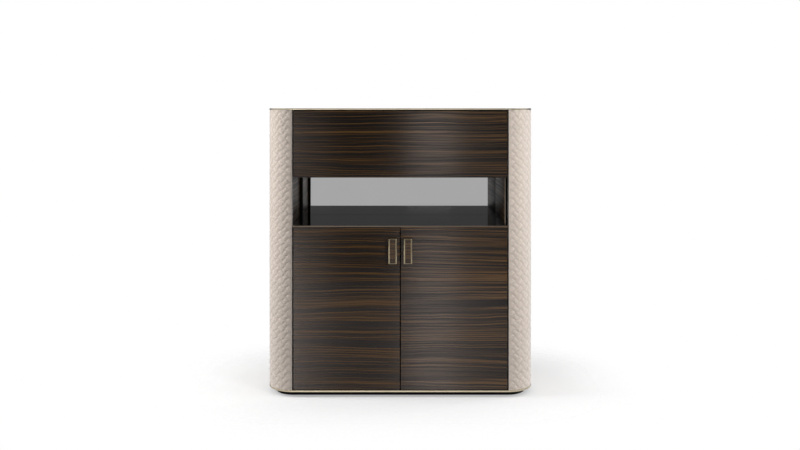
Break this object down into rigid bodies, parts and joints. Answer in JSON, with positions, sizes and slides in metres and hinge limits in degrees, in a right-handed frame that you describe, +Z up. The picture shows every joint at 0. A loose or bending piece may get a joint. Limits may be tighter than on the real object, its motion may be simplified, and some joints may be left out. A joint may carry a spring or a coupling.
{
  "type": "highboard",
  "caption": "Highboard with rounded leather-clad columns, dark wood doors on pivot pins, an open mirrored niche, a lift-up flap above it, brass bands and framed brass handles.",
  "frame": {"origin": "on the floor, under the middle of the plan, at the centre glide", "axes": "+X to the right seen from the front, +Y to the back, +Z up"},
  "size_m": [1.2, 0.452, 1.29],
  "materials": {
    "veneer": "satin-gloss dark ebony veneer with level grain",
    "leather": "greige leather strips in a diagonal basket weave",
    "brass": "satin champagne brass",
    "bronze": "satin bronze",
    "lacquer": "gloss black lacquer",
    "black_board": "matt black painted board",
    "mirror": "smoked mirror glass",
    "plywood": "bare bent plywood",
    "steel": "plain steel",
    "nylon": "black nylon"
  },
  "bodies": {
    "cabinet": {"left_side_board": "veneer", "right_side_board": "veneer", "cabinet_floor": "veneer", "niche_floor_board": "veneer", "niche_ceiling": "veneer", "carcass_top": "veneer", "back_panel": "veneer", "shelf": "veneer", "top_inlay": "veneer", "niche_liner": "veneer", "left_column_leather": "leather", "right_column_leather": "leather", "base_band": "brass", "top_band": "brass", "niche_edge_strip": "bronze", "niche_plate": "lacquer", "plinth": "black_board", "base_board": "black_board", "niche_liner_spacer": "black_board", "niche_mirror": "mirror", "left_column_core": "plywood", "right_column_core": "plywood", "shelf_peg_front_left": "steel", "shelf_peg_front_right": "steel", "shelf_peg_back_left": "steel", "shelf_peg_back_right": "steel", "floor_glide_centre": "nylon", "floor_glide_front_left": "nylon", "floor_glide_front_right": "nylon", "floor_glide_back_left": "nylon", "floor_glide_back_right": "nylon", "magnetic_catch": "nylon", "left_flap_bumper": "nylon", "right_flap_bumper": "nylon"},
    "left_door": {"left_door": "veneer", "left_handle_inlay": "veneer", "left_handle_tray": "brass", "left_door_top_pin": "steel", "left_door_bottom_pin": "steel", "left_door_strike": "steel"},
    "right_door": {"right_door": "veneer", "right_handle_inlay": "veneer", "right_handle_tray": "brass", "right_door_top_pin": "steel", "right_door_bottom_pin": "steel", "right_door_strike": "steel"},
    "flap": {"flap": "veneer", "left_flap_pin": "steel", "right_flap_pin": "steel"}
  },
  "joints": [
    {"name": "left_door_hinge", "type": "hinge", "parent": "cabinet", "child": "left_door", "pos_m": [-0.47057, -0.207, 0.4], "axis": [0, 0, -1], "range_deg": [0, 100]},
    {"name": "right_door_hinge", "type": "hinge", "parent": "cabinet", "child": "right_door", "pos_m": [0.47057, -0.207, 0.4], "axis": [0, 0, 1], "range_deg": [0, 100]},
    {"name": "flap_hinge", "type": "hinge", "parent": "cabinet", "child": "flap", "pos_m": [0, -0.206, 1.2718], "axis": [-1, 0, 0], "range_deg": [0, 90]}
  ]
}
